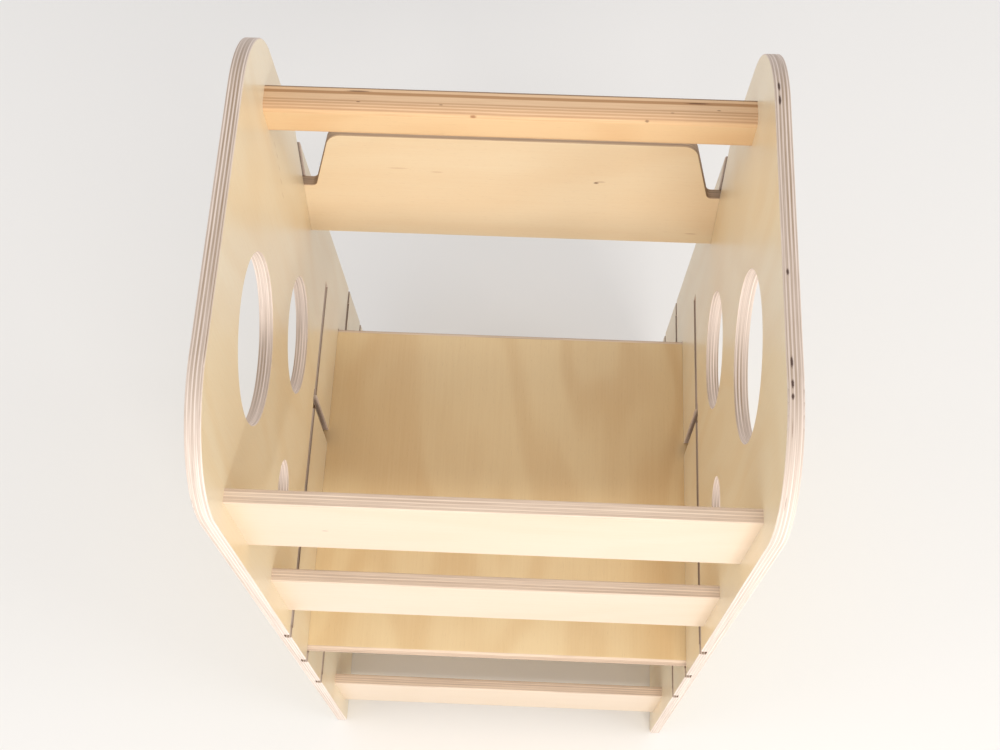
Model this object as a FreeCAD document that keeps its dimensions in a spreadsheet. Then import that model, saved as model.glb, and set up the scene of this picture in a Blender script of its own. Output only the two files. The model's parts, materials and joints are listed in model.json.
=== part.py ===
"""Toddler kitchen helper stool: a birch plywood tower with a sliding platform and a lift-out back board.

Frame: X runs across the stool, +Y to its back, +Z up. The origin is on the floor, midway between the two
side panels and midway along their feet. The front rails are at -Y. Sizes are in millimetres, angles in
degrees. A size that ends in rise is a height above the floor, and one that ends in drop a depth below the
panels' top.
"""
import FreeCAD, Part
import Sketcher
import os
import re

os.makedirs("parts", exist_ok=True)
doc = FreeCAD.newDocument("helper_stool")

# ---------------------------------------------------------------- driving dimensions

SIZES = {
    # side panels
    "inner_width": 396,
    "panel_thickness": 12,
    "panel_depth": 499,
    "panel_height": 974,
    "back_lean": 6.5,
    "front_top_radius": 92,
    "back_top_radius": 82,
    "foot_radius": 6,
    "panel_edge_round": 1.2,
    # round openings in the side panels, each centre placed from the front edge and the top
    "large_hole_diameter": 141,
    "large_hole_inset": 174.5,
    "large_hole_drop": 153,
    "medium_hole_diameter": 112,
    "medium_hole_inset": 261,
    "medium_hole_drop": 333,
    "small_hole_diameter": 55,
    "small_hole_inset": 109,
    "small_hole_drop": 343,
    "hole_edge_round": 0.5,
    # platform and the grooves that carry it
    "platform_thickness": 12,
    "platform_length": 371,
    "platform_rise": 385,
    "platform_nose": 5.5,
    "level_step": 118.5,
    "upper_step_drop": 51,
    "lower_step_drop": 177,
    "groove_depth": 6,
    "side_gap": 0.5,
    "slide_gap": 0.4,
    "end_gap": 0.8,
    "lip_rise": 3,
    "front_lip_length": 10,
    "back_lip_length": 16,
    "back_groove_length": 170,
    "channel_width": 15,
    "channel_inset": 249,
    "channel_overrun": 3,
    # back board, which slides down a slanted groove
    "board_thickness": 12,
    "board_tilt": 12.5,
    "board_ear_height": 65,
    "board_centre_height": 132,
    "board_foot_inset": 47.5,
    "board_foot_drop": 340.5,
    "board_ear_width": 11.5,
    "board_shoulder_run": 18,
    "board_top_radius": 15,
    "board_notch_radius": 5,
    "board_edge_round": 1,
    # handrail, placed by its lower edge
    "handrail_depth": 22,
    "handrail_height": 38.5,
    "handrail_inset": 38.5,
    "handrail_drop": 106.7,
    "handrail_front_round": 8,
    "handrail_back_round": 2,
    # rails, placed by their lower edges
    "rail_thickness": 12,
    "rail_height": 110.5,
    "rail_setback": 20,
    "rail_edge_round": 1.5,
    "upper_rail_drop": 216,
    "middle_rail_rise": 533.5,
    "lower_rail_rise": 44,
    # fasteners
    "screw_diameter": 4,
    "screw_length": 50,
    "screw_head_diameter": 9,
    "screw_socket_size": 3,
    "screw_socket_depth": 2.2,
    "screw_fit": 0.1,
    "rail_screw_inset": 22,
    "handrail_screw_drop": 10,
    "dowel_diameter": 6,
    "dowel_in_panel": 8,
    "dowel_in_handrail": 20,
    "dowel_fit": 0.1,
    "dowel_end_gap": 0.5,
    "handrail_dowel_drop": 26,
}

sheet = doc.addObject("Spreadsheet::Sheet", "sizes")
for row, (alias, size) in enumerate(SIZES.items(), start=1):
    sheet.set(f"A{row}", alias)
    sheet.set(f"B{row}", str(size))
    sheet.setAlias(f"B{row}", alias)
doc.recompute()


def spelled(formula):
    """The formula with every size that it names read from the sheet."""
    return re.sub(r"[a-z_]+", lambda word: f"sizes.{word[0]}" if word[0] in SIZES else word[0], formula)


def value(formula):
    """The formula's number at the sheet's present sizes."""
    number = sheet.evalExpression(spelled(formula))
    return float(getattr(number, "Value", number))


def bind(item, prop, formula):
    item.setExpression(prop, spelled(formula))


# ---------------------------------------------------------------- places worked out from the sizes

OUTER_FACE = "( inner_width / 2 + panel_thickness )"
INNER_FACE = "( inner_width / 2 )"
FRONT_EDGE = "( 0 - panel_depth / 2 )"


def back_edge(rise):
    """Y of the leaning back edge of a side panel at a height."""
    return f"( panel_depth / 2 - tan( back_lean ) * {rise} )"


def level_floor(steps):
    """Height of a groove's floor, a number of level steps above the platform's own groove."""
    return f"( platform_rise - slide_gap - lip_rise + {steps} * level_step )"


def level_roof(steps):
    return f"( platform_rise + platform_thickness + slide_gap + {steps} * level_step )"


PLATFORM_FRONT = f"( {FRONT_EDGE} + front_lip_length + end_gap )"


# ---------------------------------------------------------------- helpers for bodies and sketches

def new_body(name):
    body = doc.addObject("PartDesign::Body", name)
    body.Label = name
    return body


def new_sketch(body, name, plane, offset="0"):
    """A sketch on one of the body's own origin planes, moved along the plane's normal."""
    sketch = body.newObject("Sketcher::SketchObject", f"{body.Name}_{name}")
    support = [part for part in body.Origin.OriginFeatures if part.Role == plane][0]
    sketch.AttachmentSupport = [(support, "")]
    sketch.MapMode = "FlatFace"
    bind(sketch, "AttachmentOffset.Base.z", offset)
    return sketch


def place_point(sketch, geometry, point, across, up):
    """Holds one point of the sketch at the two formulas' distances from the sketch's origin."""
    for kind, formula in (("DistanceX", across), ("DistanceY", up)):
        if formula == "0":
            axis = -2 if kind == "DistanceX" else -1
            sketch.addConstraint(Sketcher.Constraint("PointOnObject", geometry, point, axis))
            continue
        index = sketch.addConstraint(Sketcher.Constraint(kind, -1, 1, geometry, point, value(formula)))
        sketch.setExpression(f"Constraints[{index}]", spelled(formula))


def draw_outline(sketch, corners):
    """A closed outline of straight lines through corners given as pairs of formulas."""
    spots = [FreeCAD.Vector(value(across), value(up), 0) for across, up in corners]
    lines = []
    for number, spot in enumerate(spots):
        following = spots[(number + 1) % len(spots)]
        lines.append(sketch.addGeometry(Part.LineSegment(spot, following), False))
    for number, line in enumerate(lines):
        following = lines[(number + 1) % len(lines)]
        sketch.addConstraint(Sketcher.Constraint("Coincident", line, 2, following, 1))
    for line, (across, up) in zip(lines, corners):
        place_point(sketch, line, 1, across, up)


def draw_circle(sketch, across, up, diameter):
    centre = FreeCAD.Vector(value(across), value(up), 0)
    circle = sketch.addGeometry(Part.Circle(centre, FreeCAD.Vector(0, 0, 1), value(diameter) / 2), False)
    place_point(sketch, circle, 3, across, up)
    index = sketch.addConstraint(Sketcher.Constraint("Diameter", circle, value(diameter)))
    sketch.setExpression(f"Constraints[{index}]", spelled(diameter))


def pad(body, name, sketch, length):
    feature = body.newObject("PartDesign::Pad", f"{body.Name}_{name}")
    feature.Profile = sketch
    bind(feature, "Length", length)
    doc.recompute()
    return feature


def cut(body, name, sketch, depth, forward):
    """A pocket, cut along the sketch's normal when forward is true. It has to take material away."""
    before = body.Shape.Volume
    feature = body.newObject("PartDesign::Pocket", f"{body.Name}_{name}")
    feature.Profile = sketch
    feature.Reversed = forward
    bind(feature, "Length", depth)
    doc.recompute()
    if body.Shape.Volume > before - 1:
        raise RuntimeError(f"{feature.Name} cuts nothing")
    return feature


def round_edges(body, name, radius, wanted):
    """A fillet on every edge of the body's last feature for which wanted(edge) is true."""
    base = body.Tip
    edges = [f"Edge{number}" for number, edge in enumerate(base.Shape.Edges, start=1) if wanted(edge)]
    feature = body.newObject("PartDesign::Fillet", f"{body.Name}_{name}")
    feature.Base = (base, edges)
    bind(feature, "Radius", radius)
    doc.recompute()
    return feature


def along(edge, axis):
    """Whether an edge is a straight line along an axis."""
    if not isinstance(edge.Curve, Part.Line):
        return False
    return abs(abs(edge.tangentAt(edge.FirstParameter).dot(axis)) - 1) < 1e-6


X_AXIS = FreeCAD.Vector(1, 0, 0)
Y_AXIS = FreeCAD.Vector(0, 1, 0)
REACH = 0.5


def crosses_at(edge, y, z):
    """Whether an edge runs along X through a place in the YZ plane."""
    centre = edge.BoundBox.Center
    return along(edge, X_AXIS) and abs(centre.y - y) < REACH and abs(centre.z - z) < REACH


def is_rim(edge):
    """Whether an edge is a whole circle."""
    return isinstance(edge.Curve, Part.Circle) and edge.isClosed()


def mirror_right(name, source):
    """The right-hand twin of a left-hand piece."""
    twin = doc.addObject("Part::Mirroring", name)
    twin.Label = name
    twin.Source = source
    twin.Normal = X_AXIS
    return twin


# ---------------------------------------------------------------- the leaning and upright cross-pieces

class Seat:
    """Where a cross-piece's section sits: its lower front edge and its lean back from upright."""

    def __init__(self, y, z, lean):
        self.y = y
        self.z = z
        self.lean = lean

    def spot(self, inward, upward):
        """The place, in the stool's frame, of a point measured into and up the section."""
        y = f"( {self.y} + {inward} * cos( {self.lean} ) + {upward} * sin( {self.lean} ) )"
        z = f"( {self.z} - {inward} * sin( {self.lean} ) + {upward} * cos( {self.lean} ) )"
        return y, z

    def hold(self, body):
        body.Placement = FreeCAD.Placement(FreeCAD.Vector(0, 0, 0), FreeCAD.Rotation(X_AXIS, -1))
        bind(body, "Placement.Base.y", self.y)
        bind(body, "Placement.Base.z", self.z)
        bind(body, "Placement.Rotation.Angle", f"0 - {self.lean}")


def below_top(drop):
    return f"( panel_height - {drop} )"


def front_seat(rise):
    """An upright seat, set back from the front edge."""
    return Seat(f"( {FRONT_EDGE} + rail_setback )", rise, "0")


def back_seat(rise, inset, depth, lean):
    """A seat for a piece of that depth, inset from the back edge."""
    return Seat(f"( {back_edge(rise)} - {inset} - {depth} )", rise, lean)


SEATS = {
    "upper_front_rail": front_seat(below_top("upper_rail_drop")),
    "middle_front_rail": front_seat("middle_rail_rise"),
    "lower_front_rail": front_seat("lower_rail_rise"),
    "lower_back_rail": back_seat("lower_rail_rise", "rail_setback", "rail_thickness", "( 0 - back_lean )"),
    "handrail": back_seat(below_top("handrail_drop"), "handrail_inset", "handrail_depth", "0"),
}
BOARD_FOOT = below_top("board_foot_drop")
BOARD_SEAT = Seat(f"( {back_edge(BOARD_FOOT)} - board_foot_inset )", BOARD_FOOT, "board_tilt")

RAIL_SCREWS = [
    ("rail_thickness / 2", "rail_screw_inset"),
    ("rail_thickness / 2", "( rail_height - rail_screw_inset )"),
]
HANDRAIL_SCREWS = [("handrail_depth / 2", "( handrail_height - handrail_screw_drop )")]
HANDRAIL_DOWEL = ("handrail_depth / 2", "( handrail_height - handrail_dowel_drop )")
RAIL_NAMES = [name for name in SEATS if name != "handrail"]


def screw_places(name):
    """Each screw of a cross-piece, measured into and up its section."""
    return HANDRAIL_SCREWS if name == "handrail" else RAIL_SCREWS


# ---------------------------------------------------------------- side panels

def panel_outline(body):
    """The blank: an upright front edge, a leaning back edge and rounded corners."""
    sketch = new_sketch(body, "outline", "YZ_Plane", f"0 - {OUTER_FACE}")
    draw_outline(sketch, [
        (FRONT_EDGE, "0"),
        (back_edge("0"), "0"),
        (back_edge("panel_height"), "panel_height"),
        (FRONT_EDGE, "panel_height"),
    ])
    pad(body, "blank", sketch, "panel_thickness")
    top = value("panel_height")
    front = value(FRONT_EDGE)
    back_top = value(back_edge("panel_height"))
    round_edges(body, "front_top", "front_top_radius", lambda edge: crosses_at(edge, front, top))
    round_edges(body, "back_top", "back_top_radius", lambda edge: crosses_at(edge, back_top, top))
    for foot, y in (("back", value(back_edge("0"))), ("front", front)):
        round_edges(body, f"{foot}_foot", "foot_radius", lambda edge: crosses_at(edge, y, 0))
    round_edges(body, "eased_edges", "panel_edge_round", lambda edge: not along(edge, X_AXIS))


def panel_holes(body):
    """Three round openings of falling size, cut through, their rims barely eased."""
    sketch = new_sketch(body, "holes", "YZ_Plane", f"0 - {OUTER_FACE}")
    for size in ("large", "medium", "small"):
        rise = below_top(f"{size}_hole_drop")
        draw_circle(sketch, f"( {FRONT_EDGE} + {size}_hole_inset )", rise, f"{size}_hole_diameter")
    cut(body, "round_openings", sketch, "panel_thickness", True)
    round_edges(body, "eased_rims", "hole_edge_round", is_rim)


def groove_outline(steps, mouth, inner_end, lip_end):
    """Corners of a level groove: full height from lip_end to inner_end, lower at its mouth, over the lip."""
    floor = level_floor(steps)
    roof = level_roof(steps)
    lip = f"( {floor} + lip_rise )"
    return [
        (inner_end, floor), (lip_end, floor), (lip_end, lip), (mouth, lip), (mouth, roof), (inner_end, roof),
    ]


def panel_grooves(body):
    """Level grooves for the platform, open at the front, with a low lip that keeps it from sliding out."""
    sketch = new_sketch(body, "platform_grooves", "YZ_Plane", f"0 - {INNER_FACE}")
    lip_end = f"( {FRONT_EDGE} + front_lip_length )"
    inner_end = f"( {lip_end} + platform_length + 2 * end_gap )"
    mouth = f"( {FRONT_EDGE} - front_lip_length )"
    for steps in (-1, 0, 1):
        draw_outline(sketch, groove_outline(steps, mouth, inner_end, lip_end))
    cut(body, "front_grooves", sketch, "groove_depth", False)


def panel_step_grooves(body):
    """Grooves between the platform's levels, open at the back, where a step can be slid in from behind."""
    sketch = new_sketch(body, "step_grooves", "YZ_Plane", f"0 - {INNER_FACE}")
    for drop in ("lower_step_drop", "upper_step_drop"):
        steps = f"( 0 - {drop} / level_step )"
        edge = back_edge(level_floor(steps))
        lip_end = f"( {edge} - back_lip_length )"
        inner_end = f"( {lip_end} - back_groove_length )"
        mouth = f"( {edge} + back_lip_length )"
        draw_outline(sketch, groove_outline(steps, mouth, inner_end, lip_end))
    cut(body, "back_grooves", sketch, "groove_depth", False)


def panel_channel(body):
    """The upright channel that joins the platform's groove to the next one up."""
    sketch = new_sketch(body, "channel", "YZ_Plane", f"0 - {INNER_FACE}")
    bottom = level_floor(0)
    top = f"( {level_roof(1)} + channel_overrun )"
    front = f"( {FRONT_EDGE} + channel_inset - channel_width / 2 )"
    back = f"( {front} + channel_width )"
    draw_outline(sketch, [(front, bottom), (back, bottom), (back, top), (front, top)])
    cut(body, "level_channel", sketch, "groove_depth", False)


def panel_board_groove(body):
    """The slanted groove of the back board, closed below and open at the panel's back edge."""
    sketch = new_sketch(body, "board_groove", "YZ_Plane", f"0 - {INNER_FACE}")
    front = "( 0 - slide_gap )"
    back = "( board_thickness + slide_gap )"
    foot = "( 0 - slide_gap )"
    run = "board_foot_inset * cos( back_lean ) / sin( board_tilt + back_lean )"
    rise = f"( {run} + board_thickness )"
    corners = [(front, foot), (back, foot), (back, rise), (front, rise)]
    draw_outline(sketch, [BOARD_SEAT.spot(inward, upward) for inward, upward in corners])
    cut(body, "slanted_groove", sketch, "groove_depth", False)


def panel_screw_holes(body):
    """Countersunk holes for the screws, and a blind hole for the handrail's dowel."""
    places = [SEATS[name].spot(*place) for name in SEATS for place in screw_places(name)]
    sketch = new_sketch(body, "screw_holes", "YZ_Plane", f"0 - {OUTER_FACE}")
    for y, z in places:
        draw_circle(sketch, y, z, "( screw_diameter + screw_fit )")
    cut(body, "screw_bores", sketch, "panel_thickness", True)
    for number, (y, z) in enumerate(places, start=1):
        sink = body.newObject("PartDesign::SubtractiveCone", f"{body.Name}_countersink_{number}")
        sink.Placement.Rotation = FreeCAD.Rotation(Y_AXIS, 90)
        bind(sink, "Radius1", "( screw_head_diameter + screw_fit ) / 2")
        bind(sink, "Radius2", "( screw_diameter + screw_fit ) / 2")
        bind(sink, "Height", "( screw_head_diameter - screw_diameter ) / 2")
        bind(sink, "Placement.Base.x", f"0 - {OUTER_FACE}")
        bind(sink, "Placement.Base.y", y)
        bind(sink, "Placement.Base.z", z)
    doc.recompute()
    dowel = new_sketch(body, "dowel_hole", "YZ_Plane", f"0 - {INNER_FACE}")
    draw_circle(dowel, *SEATS["handrail"].spot(*HANDRAIL_DOWEL), "( dowel_diameter + dowel_fit )")
    cut(body, "dowel_bore", dowel, "( dowel_in_panel + dowel_end_gap )", False)


def side_panel():
    body = new_body("left_side_panel")
    panel_outline(body)
    panel_holes(body)
    panel_grooves(body)
    panel_step_grooves(body)
    panel_channel(body)
    panel_board_groove(body)
    panel_screw_holes(body)
    return body


# ---------------------------------------------------------------- cross-pieces

def end_bores(body, name, places, diameter, depth):
    """Blind bores in the left end of a cross-piece, mirrored to its right end."""
    sketch = new_sketch(body, f"{name}_places", "YZ_Plane", f"0 - {INNER_FACE}")
    for inward, upward in places:
        draw_circle(sketch, inward, upward, diameter)
    pocket = cut(body, name, sketch, depth, True)
    mirrored = body.newObject("PartDesign::Mirrored", f"{body.Name}_{name}_right")
    mirrored.Originals = [pocket]
    middle = [part for part in body.Origin.OriginFeatures if part.Role == "YZ_Plane"][0]
    mirrored.MirrorPlane = (middle, [""])
    body.Tip = mirrored
    doc.recompute()


def cross_piece(name, depth, height, front_round, back_round):
    """A piece of one section, cut to length between the side panels, with its screw bores."""
    body = new_body(name)
    sketch = new_sketch(body, "section", "YZ_Plane", f"0 - {INNER_FACE}")
    draw_outline(sketch, [("0", "0"), (depth, "0"), (depth, height), ("0", height)])
    pad(body, "length", sketch, "inner_width")
    middle = value(depth) / 2
    round_edges(body, "front_edges", front_round, lambda edge: along(edge, X_AXIS) and edge.BoundBox.YMax < middle)
    at_back = value(depth) - REACH
    round_edges(body, "back_edges", back_round, lambda edge: along(edge, X_AXIS) and edge.BoundBox.YMin > at_back)
    bore_depth = "( screw_length - panel_thickness + screw_fit )"
    end_bores(body, "screw_bores", screw_places(name), "( screw_diameter + screw_fit )", bore_depth)
    SEATS[name].hold(body)
    return body


def handrail():
    rounds = ("handrail_front_round", "handrail_back_round")
    body = cross_piece("handrail", "handrail_depth", "handrail_height", *rounds)
    bore_depth = "( dowel_in_handrail + dowel_end_gap )"
    end_bores(body, "dowel_bores", [HANDRAIL_DOWEL], "( dowel_diameter + dowel_fit )", bore_depth)
    return body


# ---------------------------------------------------------------- platform and back board

def platform():
    """One board whose side edges run in the panels' grooves. Its front and back edges are rounded over."""
    body = new_body("platform")
    sketch = new_sketch(body, "outline", "XY_Plane", "platform_rise")
    half_width = "( inner_width / 2 + groove_depth - side_gap )"
    back = f"( {PLATFORM_FRONT} + platform_length )"
    draw_outline(sketch, [
        (f"0 - {half_width}", PLATFORM_FRONT),
        (half_width, PLATFORM_FRONT),
        (half_width, back),
        (f"0 - {half_width}", back),
    ])
    pad(body, "thickness", sketch, "platform_thickness")
    nose = "min( platform_nose ; 0.48 * platform_thickness )"
    round_edges(body, "noses", nose, lambda edge: along(edge, X_AXIS))
    return body


def back_board():
    """A board with a raised middle and sloping shoulders. Its two low ears run in the slanted grooves."""
    body = new_body("back_board")
    sketch = new_sketch(body, "outline", "XZ_Plane")
    end = "( inner_width / 2 + groove_depth - side_gap )"
    notch = "( inner_width / 2 - board_ear_width )"
    shoulder = f"( {notch} - board_shoulder_run )"
    right_half = [
        (end, "0"), (end, "board_ear_height"), (notch, "board_ear_height"), (shoulder, "board_centre_height"),
    ]
    left_half = [(f"0 - {across}", up) for across, up in reversed(right_half)]
    draw_outline(sketch, right_half + left_half)
    feature = body.newObject("PartDesign::Pad", "back_board_thickness")
    feature.Profile = sketch
    feature.Reversed = True
    bind(feature, "Length", "board_thickness")
    doc.recompute()

    def corner_at(edge, across, up):
        centre = edge.BoundBox.Center
        return (along(edge, Y_AXIS) and abs(abs(centre.x) - value(across)) < REACH
                and abs(centre.z - value(up)) < REACH)

    def on_raised_rim(edge):
        return not along(edge, Y_AXIS) and edge.BoundBox.ZMax > value("board_ear_height") + REACH

    def at_top_corner(edge):
        return corner_at(edge, shoulder, "board_centre_height")

    def in_notch(edge):
        return corner_at(edge, notch, "board_ear_height")

    round_edges(body, "top_corners", "board_top_radius", at_top_corner)
    round_edges(body, "notches", "board_notch_radius", in_notch)
    round_edges(body, "eased_edges", "board_edge_round", on_raised_rim)
    BOARD_SEAT.hold(body)
    return body


# ---------------------------------------------------------------- screws and dowels

def screw(name, y, z):
    """A countersunk furniture screw with a hexagon socket, driven in from the panel's outer face."""
    lying = FreeCAD.Rotation(Y_AXIS, 90)
    head_height = "( screw_head_diameter - screw_diameter ) / 2"
    shank = doc.addObject("Part::Cylinder", f"{name}_shank")
    bind(shank, "Radius", "screw_diameter / 2")
    bind(shank, "Height", "screw_length")
    head = doc.addObject("Part::Cone", f"{name}_head")
    bind(head, "Radius1", "screw_head_diameter / 2")
    bind(head, "Radius2", "screw_diameter / 2")
    bind(head, "Height", head_height)
    socket = doc.addObject("Part::Prism", f"{name}_socket")
    socket.Polygon = 6
    bind(socket, "Circumradius", "screw_socket_size / sqrt( 3 )")
    bind(socket, "Height", "screw_socket_depth")
    for piece in (shank, head, socket):
        piece.Placement.Rotation = lying
        bind(piece, "Placement.Base.x", f"0 - {OUTER_FACE}")
        bind(piece, "Placement.Base.y", y)
        bind(piece, "Placement.Base.z", z)
    blank = doc.addObject("Part::Fuse", f"{name}_blank")
    blank.Base = shank
    blank.Tool = head
    made = doc.addObject("Part::Cut", name)
    made.Base = blank
    made.Tool = socket
    return made


def screw_group(cross_piece_name):
    """The screws that hold the left end of one cross-piece, as separate solids."""
    group_name = f"left_{cross_piece_name}_screws"
    if cross_piece_name == "handrail":
        group_name = "left_handrail_screw"
    seat = SEATS[cross_piece_name]
    screws = []
    for number, place in enumerate(screw_places(cross_piece_name), start=1):
        screws.append(screw(f"{cross_piece_name}_screw_{number}", *seat.spot(*place)))
    group = doc.addObject("Part::Compound", group_name)
    group.Label = group_name
    group.Links = screws
    return group


def handrail_dowel():
    """The plain beech dowel that stops the handrail turning about its screw."""
    y, z = SEATS["handrail"].spot(*HANDRAIL_DOWEL)
    pin = doc.addObject("Part::Cylinder", "left_handrail_dowel")
    pin.Label = "left_handrail_dowel"
    pin.Placement.Rotation = FreeCAD.Rotation(Y_AXIS, 90)
    bind(pin, "Radius", "dowel_diameter / 2")
    bind(pin, "Height", "dowel_in_panel + dowel_in_handrail")
    bind(pin, "Placement.Base.x", f"0 - {INNER_FACE} - dowel_in_panel")
    bind(pin, "Placement.Base.y", y)
    bind(pin, "Placement.Base.z", z)
    return pin


# ---------------------------------------------------------------- the stool

nodes = [side_panel()]
RAIL_SECTION = ("rail_thickness", "rail_height", "rail_edge_round", "rail_edge_round")
nodes += [cross_piece(name, *RAIL_SECTION) for name in RAIL_NAMES]
nodes += [handrail(), platform(), back_board()]
left_fasteners = [screw_group(name) for name in SEATS] + [handrail_dowel()]
nodes += left_fasteners
for left_piece in [nodes[0]] + left_fasteners:
    nodes.append(mirror_right(left_piece.Label.replace("left", "right"), left_piece))
doc.recompute()

# ---------------------------------------------------------------- checks and export

for item in doc.Objects:
    if {"Invalid", "Error"} & set(item.State):
        raise RuntimeError(f"{item.Name}: {item.State}")
for node in nodes:
    if node.Shape.isNull() or not node.Shape.isValid():
        raise RuntimeError(f"{node.Label} has no valid shape")
for node in nodes:
    node.Shape.exportStep(f"parts/{node.Label}.step")
    box = node.Shape.BoundBox
    print(f"{node.Label}: {len(node.Shape.Solids)} solid(s), {node.Shape.Volume / 1000:.1f} cm3, "
          f"x {box.XMin:.1f}..{box.XMax:.1f}, y {box.YMin:.1f}..{box.YMax:.1f}, "
          f"z {box.ZMin:.1f}..{box.ZMax:.1f}")
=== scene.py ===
"""Toddler kitchen helper stool: the finish of its birch plywood and its screws, with floor, light and camera.

The boards keep the shapes of the frame. Lengths are in metres and angles in radians. The colour of a wood or a
metal is given as it shows on a screen, from 0 to 255.
"""
import json
import math

import bpy
from mathutils import Matrix, Vector

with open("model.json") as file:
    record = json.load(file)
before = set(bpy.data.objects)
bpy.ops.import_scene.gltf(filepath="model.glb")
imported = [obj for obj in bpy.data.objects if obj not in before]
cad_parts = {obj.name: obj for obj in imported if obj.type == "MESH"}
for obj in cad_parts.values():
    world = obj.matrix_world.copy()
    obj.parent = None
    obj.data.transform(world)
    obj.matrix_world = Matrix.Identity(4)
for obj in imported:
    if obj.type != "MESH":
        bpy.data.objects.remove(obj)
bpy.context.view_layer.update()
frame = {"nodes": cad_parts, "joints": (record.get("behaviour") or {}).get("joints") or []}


# ---------------------------------------------------------------- side panels
# Two boards of birch plywood, nine plies thick, with their grain upright. The outline, the round openings and
# the grooves are routed, the edges eased with a small round-over, and all is sanded and given a clear lacquer.

ACROSS_STOOL = Vector((1, 0, 0))
TO_BACK = Vector((0, 1, 0))
UP = Vector((0, 0, 1))


class Wiring:
    """Adds nodes to one node tree and joins their sockets."""

    def __init__(self, tree):
        self.tree = tree

    def add(self, kind, **settings):
        node = self.tree.nodes.new(kind)
        for name, setting in settings.items():
            setattr(node, name, setting)
        return node

    def feed(self, socket, source):
        if isinstance(source, bpy.types.NodeSocket):
            self.tree.links.new(source, socket)
        else:
            socket.default_value = source

    def maths(self, operation, *terms):
        node = self.add("ShaderNodeMath", operation=operation)
        for socket, term in zip(node.inputs, terms):
            self.feed(socket, term)
        return node.outputs[0]

    def between(self, number, low, high):
        """0 below low, 1 above high, and smooth from one to the other."""
        node = self.add("ShaderNodeMapRange", interpolation_type="SMOOTHSTEP")
        self.feed(node.inputs["Value"], number)
        self.feed(node.inputs["From Min"], low)
        self.feed(node.inputs["From Max"], high)
        return node.outputs["Result"]

    def stretched(self, vector, scale, shift=(0.0, 0.0, 0.0)):
        node = self.add("ShaderNodeMapping")
        self.feed(node.inputs["Vector"], vector)
        self.feed(node.inputs["Scale"], scale)
        self.feed(node.inputs["Location"], shift)
        return node.outputs["Vector"]

    def noise(self, vector, detail, roughness=0.5):
        node = self.add("ShaderNodeTexNoise")
        self.feed(node.inputs["Vector"], vector)
        self.feed(node.inputs["Scale"], 1.0)
        self.feed(node.inputs["Detail"], detail)
        self.feed(node.inputs["Roughness"], roughness)
        return node.outputs["Fac"]

    def joined(self, x, y, z):
        node = self.add("ShaderNodeCombineXYZ")
        for axis, number in zip("XYZ", (x, y, z)):
            self.feed(node.inputs[axis], number)
        return node.outputs[0]

    def split(self, vector):
        node = self.add("ShaderNodeSeparateXYZ")
        self.feed(node.inputs[0], vector)
        return node.outputs

    def along(self, vector, direction):
        """How far a vector reaches in a direction."""
        node = self.add("ShaderNodeVectorMath", operation="DOT_PRODUCT")
        self.feed(node.inputs[0], vector)
        self.feed(node.inputs[1], direction)
        return node.outputs["Value"]

    def blended(self, share, first, second):
        """The second colour where share is 1. The colour sockets share their names, so they go by number."""
        node = self.add("ShaderNodeMix", data_type="RGBA")
        self.feed(node.inputs["Factor"], share)
        self.feed(node.inputs[6], first)
        self.feed(node.inputs[7], second)
        return node.outputs[2]


def tone(red, green, blue):
    """A colour given as it shows on a screen, from 0 to 255, as the shader wants it."""
    def linear(part):
        share = part / 255
        return share / 12.92 if share <= 0.04045 else ((share + 0.055) / 1.055) ** 2.4
    return (linear(red), linear(green), linear(blue), 1.0)


def effect(name, inputs, outputs):
    """An empty shader node group, its input and output nodes, and its wiring."""
    tree = bpy.data.node_groups.new(name, "ShaderNodeTree")
    for socket_name, kind in inputs:
        tree.interface.new_socket(socket_name, in_out="INPUT", socket_type=f"NodeSocket{kind}")
    for socket_name, kind in outputs:
        tree.interface.new_socket(socket_name, in_out="OUTPUT", socket_type=f"NodeSocket{kind}")
    wiring = Wiring(tree)
    return tree, wiring.add("NodeGroupInput").outputs, wiring.add("NodeGroupOutput").inputs, wiring


# How the patterns of the veneer are stretched: repeats to a metre along the grain, across it and through it.
FIGURE_STRETCH = (1.9, 5.5, 40.0)
DRIFT_STRETCH = (2.6, 7.0, 40.0)
FIBRE_STRETCH = (14.0, 620.0, 40.0)
PORE_STRETCH = (130.0, 2100.0, 60.0)
FIGURE_RINGS = 62.0
DRIFT_SHARE = 0.34
FIBRE_SHARE = 0.35
PORE_SHARE = 0.14
PORE_BROWN = (150, 108, 66)
LACQUER_ROUGHNESS = 0.34
LACQUER_UNEVENNESS = 0.12


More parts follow.
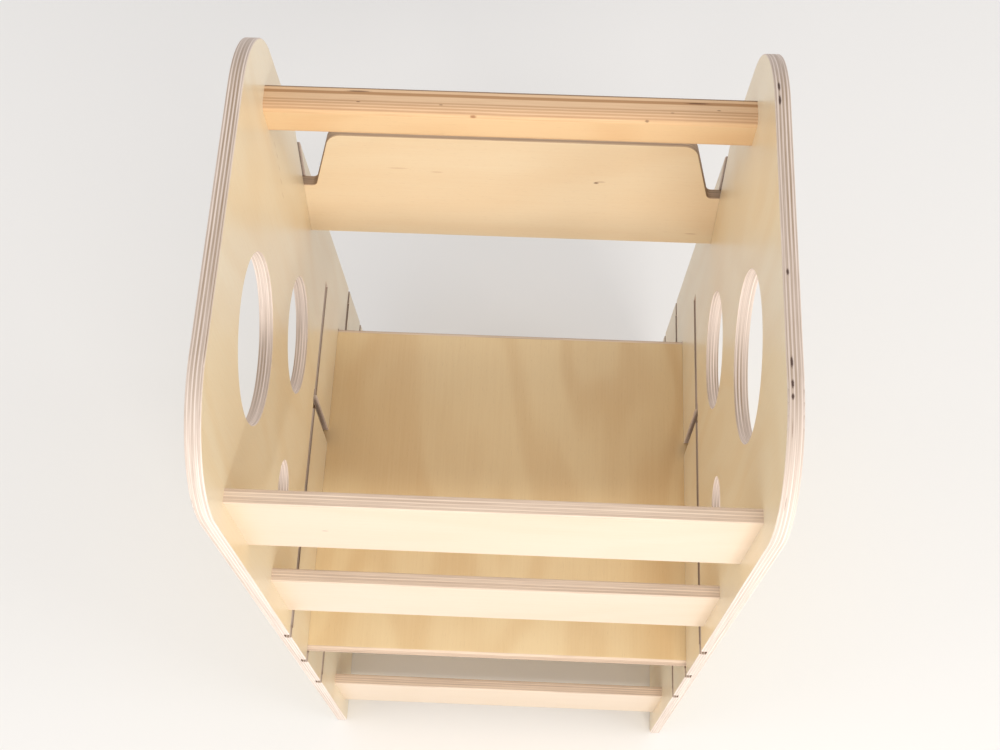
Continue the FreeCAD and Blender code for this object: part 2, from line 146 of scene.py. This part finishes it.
def veneer_effect():
    """The face of a rotary-cut birch veneer: broad soft figure, fibres, short pores and a slow drift of tone.

    Board is the place on the board: along the grain, across it, and into the thickness.
    """
    tree, given, made, wiring = effect(
        "birch_veneer",
        [("Board", "Vector"), ("Seed", "Float"), ("Pale", "Color"), ("Warm", "Color"), ("Figure", "Float")],
        [("Colour", "Color"), ("Gloss", "Float"), ("Height", "Float")],
    )
    seed = given["Seed"]
    shift = wiring.joined(seed, wiring.maths("MULTIPLY", seed, 1.7), seed)

    def pattern(stretch, detail, roughness=0.5):
        return wiring.noise(wiring.stretched(given["Board"], stretch, shift), detail, roughness)

    broad = pattern(FIGURE_STRETCH, 2.0, 0.42)
    rings = wiring.maths("SINE", wiring.maths("MULTIPLY", broad, FIGURE_RINGS))
    figure = wiring.between(rings, -0.9, 1.3)
    drift = wiring.between(pattern(DRIFT_STRETCH, 3.0), 0.3, 0.72)
    fibres = pattern(FIBRE_STRETCH, 3.0, 0.6)
    pores = wiring.between(pattern(PORE_STRETCH, 1.0), 0.66, 0.76)
    warmth = wiring.maths("MULTIPLY", given["Figure"], figure)
    warmth = wiring.maths("ADD", warmth, wiring.maths("MULTIPLY", drift, DRIFT_SHARE))
    unevenness = wiring.maths("MULTIPLY", wiring.maths("SUBTRACT", fibres, 0.5), FIBRE_SHARE)
    warmth = wiring.maths("ADD", warmth, unevenness)
    colour = wiring.blended(warmth, given["Pale"], given["Warm"])
    colour = wiring.blended(wiring.maths("MULTIPLY", pores, PORE_SHARE), colour, tone(*PORE_BROWN))
    wiring.feed(made["Colour"], colour)
    gloss = wiring.maths("ADD", LACQUER_ROUGHNESS, wiring.maths("MULTIPLY", fibres, LACQUER_UNEVENNESS))
    wiring.feed(made["Gloss"], gloss)
    raised = wiring.maths("MULTIPLY", fibres, 0.5)
    wiring.feed(made["Height"], wiring.maths("SUBTRACT", raised, wiring.maths("MULTIPLY", pores, 0.6)))
    return tree


# The parts of a ply that its sway and its glue lines take, and how much of an edge's brown each cause brings.
PLY_SWAY = 0.45
GLUE_FROM = 0.02
GLUE_TO = 0.12
GLUE_SHARE = 0.36
STRIPE_SHARE = 0.20
STRIPE_ON_END_GRAIN = 0.14
END_GRAIN_SHARE = 0.26
PLY_TONE_SHARE = 0.24
STREAK_SHARE = 0.7


def ply_edge_effect():
    """A routed edge that shows the plies: pale where a ply is cut along its grain, brown where it is cut
    across, with a thin glue line between them. Ply is the thickness of one ply, and End Grain is how far the cut
    runs across the grain of the two faces.
    """
    tree, given, made, wiring = effect(
        "plywood_edge",
        [("Board", "Vector"), ("Seed", "Float"), ("Ply", "Float"), ("End Grain", "Float"), ("Pale", "Color"),
         ("Brown", "Color"), ("Glue", "Color")],
        [("Colour", "Color"), ("Height", "Float")],
    )
    place_on = wiring.split(given["Board"])
    depth = place_on["Z"]
    run = wiring.maths("ADD", place_on["X"], place_on["Y"])
    waver = wiring.noise(wiring.stretched(wiring.joined(run, given["Seed"], 0.0), (9.0, 1.0, 1.0)), 2.0)
    sway = wiring.maths("MULTIPLY", wiring.maths("SUBTRACT", waver, 0.5), PLY_SWAY)
    layer = wiring.maths("ADD", wiring.maths("DIVIDE", depth, given["Ply"]), sway)
    number = wiring.maths("FLOOR", layer)
    place = wiring.maths("FRACT", layer)
    from_glue = wiring.maths("SUBTRACT", 0.5, wiring.maths("ABSOLUTE", wiring.maths("SUBTRACT", place, 0.5)))
    glue = wiring.maths("SUBTRACT", 1.0, wiring.between(from_glue, GLUE_FROM, GLUE_TO))
    crossing = wiring.maths("MODULO", wiring.maths("ABSOLUTE", number), 2.0)
    turned = wiring.maths("SUBTRACT", 1.0, wiring.maths("MULTIPLY", given["End Grain"], 2.0))
    cut_across = wiring.maths("ADD", given["End Grain"], wiring.maths("MULTIPLY", crossing, turned))
    streaks = wiring.noise(
        wiring.joined(wiring.maths("MULTIPLY", run, 30.0), wiring.maths("MULTIPLY", number, 7.3),
                      wiring.maths("MULTIPLY", depth, 2600.0)), 3.0, 0.65)
    ply_tone = wiring.between(
        wiring.noise(wiring.joined(wiring.maths("MULTIPLY", run, 6.0), wiring.maths("MULTIPLY", number, 31.7),
                                   given["Seed"]), 1.0), 0.3, 0.7)
    more_on_end_grain = wiring.maths("MULTIPLY", given["End Grain"], STRIPE_ON_END_GRAIN)
    brown = wiring.maths("MULTIPLY", cut_across, wiring.maths("ADD", STRIPE_SHARE, more_on_end_grain))
    brown = wiring.maths("ADD", brown, wiring.maths("MULTIPLY", given["End Grain"], END_GRAIN_SHARE))
    brown = wiring.maths("ADD", brown, wiring.maths("MULTIPLY", ply_tone, PLY_TONE_SHARE))
    unevenness = wiring.maths("MULTIPLY", wiring.maths("SUBTRACT", streaks, 0.5), STREAK_SHARE)
    brown = wiring.maths("ADD", brown, unevenness)
    colour = wiring.blended(brown, given["Pale"], given["Brown"])
    colour = wiring.blended(wiring.maths("MULTIPLY", glue, GLUE_SHARE), colour, given["Glue"])
    wiring.feed(made["Colour"], colour)
    raised = wiring.maths("MULTIPLY", streaks, 0.4)
    wiring.feed(made["Height"], wiring.maths("SUBTRACT", raised, wiring.maths("MULTIPLY", glue, 0.5)))
    return tree


SPOT_ROUGHNESS_STRETCH = (900.0, 900.0, 900.0)


def soft_spot_effect():
    """1 at a place on the board, falling softly to 0 at its reach along the grain, across it and inwards."""
    tree, given, made, wiring = effect(
        "soft_spot", [("Board", "Vector"), ("Centre", "Vector"), ("Reach", "Vector")], [("Mask", "Float")])
    apart = wiring.add("ShaderNodeVectorMath", operation="SUBTRACT")
    wiring.feed(apart.inputs[0], given["Board"])
    wiring.feed(apart.inputs[1], given["Centre"])
    share = wiring.add("ShaderNodeVectorMath", operation="DIVIDE")
    wiring.feed(share.inputs[0], apart.outputs[0])
    wiring.feed(share.inputs[1], given["Reach"])
    distance = wiring.add("ShaderNodeVectorMath", operation="LENGTH")
    wiring.feed(distance.inputs[0], share.outputs[0])
    ragged = wiring.noise(wiring.stretched(given["Board"], SPOT_ROUGHNESS_STRETCH), 1.0)
    edge = wiring.maths("ADD", distance.outputs["Value"], wiring.maths("MULTIPLY", ragged, 0.4))
    wiring.feed(made["Mask"], wiring.maths("SUBTRACT", 1.0, wiring.between(edge, 0.55, 1.2)))
    return tree


VENEER = veneer_effect()
PLY_EDGE = ply_edge_effect()
SOFT_SPOT = soft_spot_effect()


class Board:
    """A board of the frame, with its grain and its thickness found from its mesh."""

    def __init__(self, node, grain, through):
        self.node = frame["nodes"][node]
        self.turn = Matrix((grain, through.cross(grain), through)).transposed()
        seen = [self.turn.transposed() @ vertex.co for vertex in self.node.data.vertices]
        low = Vector([min(spot[axis] for spot in seen) for axis in range(3)])
        high = Vector([max(spot[axis] for spot in seen) for axis in range(3)])
        self.corner = self.turn @ low
        self.length, self.width, self.thickness = high - low

    def place(self, wiring):
        """The shaded point, from the board's corner: along the grain, across it and through the board."""
        mapping = wiring.add("ShaderNodeMapping", vector_type="TEXTURE")
        wiring.feed(mapping.inputs["Vector"], wiring.add("ShaderNodeTexCoord").outputs["Object"])
        wiring.feed(mapping.inputs["Location"], self.corner)
        wiring.feed(mapping.inputs["Rotation"], self.turn.to_euler())
        return mapping.outputs["Vector"]


def used(wiring, tree, inputs):
    """An effect placed in a material, with its inputs fed."""
    node = wiring.add("ShaderNodeGroup", node_tree=tree)
    for name, source in inputs.items():
        wiring.feed(node.inputs[name], source)
    return node.outputs


class Mark:
    """A dark mark in a board: its place and its reach, both along the grain, across it and inwards."""

    def __init__(self, centre, reach, strength=0.8, colour=(96, 62, 38)):
        self.centre = centre
        self.reach = reach
        self.strength = strength
        self.colour = colour


LAYER_BLUR = 0.012
LAYER_SWAY = 0.0012
LAYER_FIBRE_STRETCH = (22.0, 900.0, 1500.0)
LAYER_FIBRE_BROWN = (168, 122, 80)


def layered(wiring, board, place, layers):
    """The colour of a board's edge from its layers, each a thickness and a colour, the front one first."""
    ramp = wiring.add("ShaderNodeValToRGB")
    stops = ramp.color_ramp.elements
    whole = sum(thickness for thickness, colour in layers)
    depth = 0.0
    bounds = []
    for thickness, colour in layers:
        share = thickness / whole
        blur = min(LAYER_BLUR, share / 3)
        bounds += [(depth + blur, colour), (depth + share - blur, colour)]
        depth += share
    stops[0].position, stops[0].color = bounds[0][0], tone(*bounds[0][1])
    stops[1].position, stops[1].color = bounds[-1][0], tone(*bounds[-1][1])
    for position, colour in bounds[1:-1]:
        stops.new(position).color = tone(*colour)
    waver = wiring.noise(wiring.stretched(place, (7.0, 0.0, 0.0)), 2.0)
    sway = wiring.maths("MULTIPLY", wiring.maths("SUBTRACT", waver, 0.5), LAYER_SWAY)
    share = wiring.maths("DIVIDE", wiring.maths("ADD", wiring.split(place)["Z"], sway), board.thickness)
    wiring.feed(ramp.inputs["Fac"], share)
    fibres = wiring.noise(wiring.stretched(place, LAYER_FIBRE_STRETCH), 3.0, 0.6)
    shade = wiring.maths("MULTIPLY", wiring.maths("SUBTRACT", fibres, 0.42), 0.9)
    return wiring.blended(shade, ramp.outputs["Color"], tone(*LAYER_FIBRE_BROWN))


PLIES = 9
EDGE_PALE = (248, 232, 219)
EDGE_BROWN = (142, 114, 82)
GLUE_BROWN = (126, 98, 80)
# Painted shade: the dark brown laid on the floors of the grooves.
GROOVE_SHADE = (100, 68, 44)
# How far under the surface a point still counts as the face, how deep the round-over of an edge goes, and how
# squarely a groove's floor has to face outwards to take the painted shade of the grooves.
FLAT_LIMIT = 0.00006
ROUND_OVER = 0.0016
FLAT_FLOOR = 0.99
CUT_ROUGHNESS = 0.26
LACQUER_COAT = 0.5
COAT_ROUGHNESS = 0.28
LACQUER_REFLECTION = 0.5
RELIEF_STRENGTH = 0.3
RELIEF = 0.0001


def plywood(name, board, seed, pale, warm, figure=0.25, layers=None, marks=(), edge_pale=EDGE_PALE,
            edge_brown=EDGE_BROWN):
    """Lacquered birch plywood: veneer on the two faces, plies wherever the board is cut."""
    material = bpy.data.materials.new(name)
    material.use_nodes = True
    wiring = Wiring(material.node_tree)
    shader = material.node_tree.nodes["Principled BSDF"]
    place = board.place(wiring)
    middle = board.thickness / 2
    from_middle = wiring.maths("ABSOLUTE", wiring.maths("SUBTRACT", wiring.split(place)["Z"], middle))
    cut = wiring.maths("LESS_THAN", from_middle, middle - FLAT_LIMIT)
    normal = wiring.add("ShaderNodeNewGeometry").outputs["Normal"]
    end_grain = wiring.maths("POWER", wiring.along(normal, board.turn.col[0]), 2.0)
    face = used(wiring, VENEER, {
        "Board": place, "Seed": seed, "Pale": tone(*pale), "Warm": tone(*warm), "Figure": figure})
    edge = used(wiring, PLY_EDGE, {
        "Board": place, "Seed": seed, "Ply": board.thickness / PLIES, "End Grain": end_grain,
        "Pale": tone(*edge_pale), "Brown": tone(*edge_brown), "Glue": tone(*GLUE_BROWN)})
    cut_colour = layered(wiring, board, place, layers) if layers else edge["Colour"]
    # Painted shade: the level floors of the grooves, below the round-over, are coloured dark brown.
    through = wiring.maths("ABSOLUTE", wiring.along(normal, board.turn.col[2]))
    level = wiring.maths("GREATER_THAN", through, FLAT_FLOOR)
    below_face = wiring.maths("LESS_THAN", from_middle, middle - ROUND_OVER)
    groove_floor_shade = wiring.maths("MULTIPLY", level, below_face)
    cut_colour = wiring.blended(groove_floor_shade, cut_colour, tone(*GROOVE_SHADE))
    colour = wiring.blended(cut, face["Colour"], cut_colour)
    for mark in marks:
        mask = used(wiring, SOFT_SPOT, {"Board": place, "Centre": mark.centre, "Reach": mark.reach})["Mask"]
        colour = wiring.blended(wiring.maths("MULTIPLY", mask, mark.strength), colour, tone(*mark.colour))
    wiring.feed(shader.inputs["Base Color"], colour)
    rough = wiring.maths("ADD", face["Gloss"], wiring.maths("MULTIPLY", cut, CUT_ROUGHNESS))
    wiring.feed(shader.inputs["Roughness"], rough)
    height = wiring.add("ShaderNodeMix", data_type="FLOAT")
    wiring.feed(height.inputs["Factor"], cut)
    wiring.feed(height.inputs[2], face["Height"])
    wiring.feed(height.inputs[3], edge["Height"])
    bump = wiring.add("ShaderNodeBump")
    bump.inputs["Strength"].default_value = RELIEF_STRENGTH
    bump.inputs["Distance"].default_value = RELIEF
    wiring.feed(bump.inputs["Height"], height.outputs[0])
    wiring.feed(shader.inputs["Normal"], bump.outputs["Normal"])
    shader.inputs["Specular IOR Level"].default_value = LACQUER_REFLECTION
    coat = wiring.maths("SUBTRACT", LACQUER_COAT, wiring.maths("MULTIPLY", cut, LACQUER_COAT))
    wiring.feed(shader.inputs["Coat Weight"], coat)
    shader.inputs["Coat Roughness"].default_value = COAT_ROUGHNESS
    return material


def finish_board(board, material):
    board.node.data.materials.clear()
    board.node.data.materials.append(material)


left_panel = Board("left_side_panel", UP, -ACROSS_STOOL)
right_panel = Board("right_side_panel", UP, ACROSS_STOOL)
PANEL_PALE = (241, 227, 196)
PANEL_WARM = (230, 204, 160)

# A short curl in the left panel's figure, which bends towards the back as it climbs.
CURL_BROWN = (176, 136, 92)
CURL_FOOT = 0.786
CURL_RISE = 0.056
CURL_FROM_FRONT = 0.329
CURL_REACH = 0.016
CURL_BEND = 1.5
CURL_PARTS = 5
left_marks = []
for part in range(CURL_PARTS):
    climbed = part / (CURL_PARTS - 1)
    reached = 1 - (1 - climbed) ** CURL_BEND
    place = (CURL_FOOT + CURL_RISE * climbed, CURL_FROM_FRONT + CURL_REACH * reached, 0.0)
    left_marks.append(Mark(place, (0.007, 0.0013, 0.001), 0.35, CURL_BROWN))

# Voids and cracks in one ply of the right panel's upper edge: the place from the front, and half the length. The
# round at the front is the one that the frame gives the panel.
FRONT_ROUND = 0.092
VOID_LAYER = 0.0036
VOID_BROWN = (70, 46, 34)
CRACK_BROWN = (120, 92, 74)
VOIDS = [(0.328, 0.006), (0.315, 0.006), (0.172, 0.0035), (0.103, 0.006), (0.087, 0.0045), (0.078, 0.003)]
CRACKS = [(0.057, 0.009), (0.015, 0.009)]


def in_upper_edge(panel, from_front):
    """A place in a panel's upper edge, which is level and turns down in a round at the front."""
    into_round = max(0.0, FRONT_ROUND - from_front)
    rise = panel.length - FRONT_ROUND + math.sqrt(FRONT_ROUND ** 2 - into_round ** 2)
    return (rise, panel.width - from_front, VOID_LAYER)


right_marks = [Mark(in_upper_edge(right_panel, from_front), (0.006, half, 0.0014), 0.95, VOID_BROWN)
               for from_front, half in VOIDS]
right_marks += [Mark(in_upper_edge(right_panel, from_front), (0.010, half, 0.0004), 0.6, CRACK_BROWN)
                for from_front, half in CRACKS]

# Painted shade on the walls of the slanted groove and the channel: rise, place from the front, reach up and
# back.
SHADED_WALLS = [(0.715, 0.422, 0.075, 0.032), (0.455, 0.252, 0.085, 0.016)]
WALL_SHADE = (78, 54, 38)
WALL_DEPTH = 0.0038
for rise, from_front, reach_up, reach_back in SHADED_WALLS:
    reach = (reach_up, reach_back, 0.0030)
    left_marks.append(Mark((rise, from_front, WALL_DEPTH), reach, 0.6, WALL_SHADE))
    right_marks.append(Mark((rise, right_panel.width - from_front, WALL_DEPTH), reach, 0.6, WALL_SHADE))
finish_board(left_panel, plywood("left_panel_plywood", left_panel, 1.3, pale=PANEL_PALE, warm=PANEL_WARM,
                                 marks=left_marks))
finish_board(right_panel, plywood("right_panel_plywood", right_panel, 7.9, pale=PANEL_PALE, warm=PANEL_WARM,
                                  marks=right_marks))


# ---------------------------------------------------------------- rails
# Four boards of the same plywood, cut to length between the panels with their grain along them. The three at
# the front stand upright, and the one at the back leans forward with the panels' back edge.

BACK_LEAN = math.radians(6.5)
LEANING_TO_BACK = Vector((0, math.cos(BACK_LEAN), math.sin(BACK_LEAN)))
RAILS = {
    "upper_front_rail": (3.1, TO_BACK),
    "middle_front_rail": (5.7, TO_BACK),
    "lower_front_rail": (11.2, TO_BACK),
    "lower_back_rail": (15.4, LEANING_TO_BACK),
}
RAIL_KNOTS = {"upper_front_rail": [Mark((0.068, 0.0615, 0.0), (0.0035, 0.0012, 0.001), 0.6)]}
for rail, (seed, through) in RAILS.items():
    board = Board(rail, ACROSS_STOOL, through)
    finish_board(board, plywood(f"{rail}_plywood", board, seed, pale=(232, 210, 184), warm=(220, 192, 156),
                                figure=0.12, marks=RAIL_KNOTS.get(rail, ()), edge_pale=(236, 214, 190),
                                edge_brown=(140, 104, 80)))


# ---------------------------------------------------------------- handrail
# One length of 22 mm birch plywood on edge, with its long edges rounded over, so that the plies run out as broad
# bands along its top. It is screwed and dowelled between the panels.

handrail = Board("handrail", ACROSS_STOOL, TO_BACK)
LAYER_FACE = (234, 196, 150)
LAYER_PALE = (224, 188, 148)
LAYER_MID = (200, 160, 120)
LAYER_BROWN = (178, 136, 94)
# The darkest colour, of the back layer, is a darker ply with painted shade laid in, for the back round-over that
# turns away from the light.
LAYER_DARK_AND_SHADE = (150, 122, 96)
# The layers from the front one to the back one, with the width of each as the top shows it, in millimetres.
HANDRAIL_LAYERS = [
    (1.4, LAYER_FACE), (1.2, LAYER_MID), (0.8, LAYER_PALE), (1.3, LAYER_MID), (0.9, LAYER_PALE),
    (1.4, LAYER_MID), (1.0, LAYER_PALE), (1.4, LAYER_MID), (5.4, LAYER_PALE), (2.8, LAYER_BROWN),
    (2.4, LAYER_PALE), (2.0, LAYER_DARK_AND_SHADE),
]
GAP = (0.013, 0.003, 0.0009)
SPOT = (0.0022, 0.003, 0.0006)
FACE_SPOT = (0.0022, 0.0016, 0.002)
KNOT = (0.0034, 0.002, 0.002)
KNOT_BROWN = (150, 96, 56)
# Two gaps between the plies and four spots along the top, then a spot and a knot in the front face.
handrail_marks = [
    Mark((0.076, 0.0, 0.018), GAP, 0.75),
    Mark((0.348, 0.0, 0.0165), GAP, 0.85),
    Mark((0.0765, 0.0, 0.008), SPOT, 0.8),
    Mark((0.143, 0.0, 0.0075), SPOT, 0.7),
    Mark((0.365, 0.0, 0.0105), SPOT, 0.7),
    Mark((0.328, 0.0005, 0.007), SPOT, 0.6),
    Mark((0.308, 0.004, 0.001), FACE_SPOT, 0.6),
    Mark((0.169, 0.005, 0.0005), KNOT, 0.7, KNOT_BROWN),
]
finish_board(handrail, plywood("handrail_plywood", handrail, 21.6, pale=(236, 203, 157), warm=(225, 179, 126),
                               figure=0.3, layers=HANDRAIL_LAYERS, marks=handrail_marks))


# ---------------------------------------------------------------- platform
# One board that slides in the panels' grooves, with its grain from front to back and its front and back edges
# rounded to a nose.

platform = Board("platform", TO_BACK, -UP)
finish_board(platform, plywood("platform_plywood", platform, 27.5, pale=(238, 212, 164), warm=(218, 180, 124),
                               figure=0.36, edge_pale=(240, 216, 190), edge_brown=(150, 116, 88)))


# ---------------------------------------------------------------- back board
# One board with a raised middle and two low ears that stand in the slanted grooves. Its grain runs along it.

lift = next(joint for joint in frame["joints"] if joint["name"] == "back_board_lift")
board_up = Vector(lift["axis"])
back_board = Board("back_board", ACROSS_STOOL, Vector((0, board_up.z, -board_up.y)))
# A knot with its paler tail, then three thin streaks along the grain.
FINE_STREAK_BROWN = (196, 148, 98)
back_board_marks = [
    Mark((0.2835, 0.0515, 0.0), (0.0030, 0.0016, 0.001), 0.85, (120, 78, 48)),
    Mark((0.2875, 0.050, 0.0), (0.0060, 0.0014, 0.001), 0.35, (170, 120, 76)),
    Mark((0.097, 0.0405, 0.0), (0.0120, 0.0012, 0.001), 0.35, FINE_STREAK_BROWN),
    Mark((0.1335, 0.044, 0.0), (0.0080, 0.0012, 0.001), 0.35, FINE_STREAK_BROWN),
    Mark((0.380, 0.1185, 0.0), (0.0080, 0.0009, 0.001), 0.45, (170, 120, 72)),
]
finish_board(back_board, plywood("back_board_plywood", back_board, 33.3, pale=(243, 224, 190),
                                 warm=(234, 203, 160), figure=0.22, marks=back_board_marks,
                                 edge_pale=(206, 176, 144), edge_brown=(116, 86, 60)))


# ---------------------------------------------------------------- screws and dowels
# Zinc-plated countersunk furniture screws with a hexagon socket, flush with the panels' outer faces, and
# plain beech dowels inside the joints of the handrail.

BLOOM_STRETCH = (900.0, 900.0, 900.0)
BEECH_STRETCH = (60.0, 1500.0, 1500.0)


def zinc_plate():
    material = bpy.data.materials.new("screw_zinc")
    material.use_nodes = True
    wiring = Wiring(material.node_tree)
    shader = material.node_tree.nodes["Principled BSDF"]
    place = wiring.add("ShaderNodeTexCoord").outputs["Object"]
    bloom = wiring.noise(wiring.stretched(place, BLOOM_STRETCH), 3.0)
    wiring.feed(shader.inputs["Base Color"], wiring.blended(bloom, tone(205, 206, 204), tone(168, 168, 164)))
    wiring.feed(shader.inputs["Roughness"], wiring.maths("ADD", 0.24, wiring.maths("MULTIPLY", bloom, 0.2)))
    shader.inputs["Metallic"].default_value = 1.0
    return material


def bare_beech():
    material = bpy.data.materials.new("bare_beech")
    material.use_nodes = True
    wiring = Wiring(material.node_tree)
    shader = material.node_tree.nodes["Principled BSDF"]
    place = wiring.add("ShaderNodeTexCoord").outputs["Object"]
    fibres = wiring.noise(wiring.stretched(place, BEECH_STRETCH), 2.0)
    wiring.feed(shader.inputs["Base Color"], wiring.blended(fibres, tone(222, 186, 142), tone(190, 146, 100)))
    wiring.feed(shader.inputs["Roughness"], wiring.maths("ADD", 0.5, wiring.maths("MULTIPLY", fibres, 0.2)))
    return material


zinc = zinc_plate()
beech = bare_beech()
for name, node in frame["nodes"].items():
    if "screw" in name or "dowel" in name:
        node.data.materials.clear()
        node.data.materials.append(zinc if "screw" in name else beech)


# ---------------------------------------------------------------- floor, light and camera
# A pale floor that runs past the picture, a narrow and a broad soft light from the front, one from each side,
# and the camera above the front rails.

FLOOR_SIZE = 60.0
bpy.ops.mesh.primitive_plane_add(size=FLOOR_SIZE, location=(0, 0, 0))
floor = bpy.context.object
floor.name = "floor"
floor_paint = bpy.data.materials.new("floor_paint")
floor_paint.use_nodes = True
floor_shader = floor_paint.node_tree.nodes["Principled BSDF"]
floor_shader.inputs["Base Color"].default_value = tone(241, 239, 234)
floor_shader.inputs["Roughness"].default_value = 0.75
floor_shader.inputs["Specular IOR Level"].default_value = 0.1
floor.data.materials.append(floor_paint)

world = bpy.data.worlds.new("studio")
world.use_nodes = True
sky = world.node_tree.nodes["Background"]
sky.inputs["Color"].default_value = tone(250, 250, 255)
sky.inputs["Strength"].default_value = 0.73
bpy.context.scene.world = world


def soft_box(name, place, aim, width, height, power, colour):
    """An oblong studio light, aimed at a point."""
    light = bpy.data.lights.new(name, "AREA")
    light.shape = "RECTANGLE"
    light.size = width
    light.size_y = height
    light.energy = power
    light.color = colour
    lamp = bpy.data.objects.new(name, light)
    lamp.location = place
    lamp.rotation_euler = (Vector(aim) - Vector(place)).to_track_quat("-Z", "Y").to_euler()
    bpy.context.scene.collection.objects.link(lamp)


UPPER_HALF = (0, 0, 0.7)
LOWER_HALF = (0, 0, 0.4)
NEAR_WHITE = (1.0, 0.99, 0.97)
WARM_WHITE = (1.0, 0.97, 0.94)
SOFT_WHITE = (1.0, 0.98, 0.95)
soft_box("front_light", (0.45, -1.98, 1.94), UPPER_HALF, width=1.4, height=0.2, power=22.5, colour=WARM_WHITE)
soft_box("front_fill", (0.0, -3.4, 1.2), UPPER_HALF, width=4.2, height=2.2, power=31.0, colour=SOFT_WHITE)
soft_box("right_light", (2.6, -0.6, 3.0), LOWER_HALF, width=1.6, height=1.6, power=22.0, colour=NEAR_WHITE)
soft_box("left_light", (-2.6, -0.6, 3.0), LOWER_HALF, width=1.6, height=1.6, power=13.0, colour=NEAR_WHITE)
bpy.context.scene.view_settings.view_transform = "Standard"

CAMERA_PLACE = Vector((0.0226, -0.5284, 1.8307))
CAMERA_PITCH = math.radians(66.933)
CAMERA_YAW = math.radians(-2.994)
CAMERA_ROLL = math.radians(-0.658)
LENS = 49.40
SENSOR_WIDTH = 36.0

ahead = Vector((math.sin(CAMERA_YAW) * math.cos(CAMERA_PITCH), math.cos(CAMERA_YAW) * math.cos(CAMERA_PITCH),
                -math.sin(CAMERA_PITCH)))
level_right = Vector((math.cos(CAMERA_YAW), -math.sin(CAMERA_YAW), 0))
level_up = level_right.cross(ahead)
right = math.cos(CAMERA_ROLL) * level_right + math.sin(CAMERA_ROLL) * level_up
top = -math.sin(CAMERA_ROLL) * level_right + math.cos(CAMERA_ROLL) * level_up
camera = bpy.data.objects.new("camera", bpy.data.cameras.new("camera"))
camera.data.lens = LENS
camera.data.sensor_width = SENSOR_WIDTH
camera.matrix_world = Matrix.Translation(CAMERA_PLACE) @ Matrix((right, top, -ahead)).transposed().to_4x4()
bpy.context.scene.collection.objects.link(camera)
bpy.context.scene.camera = camera
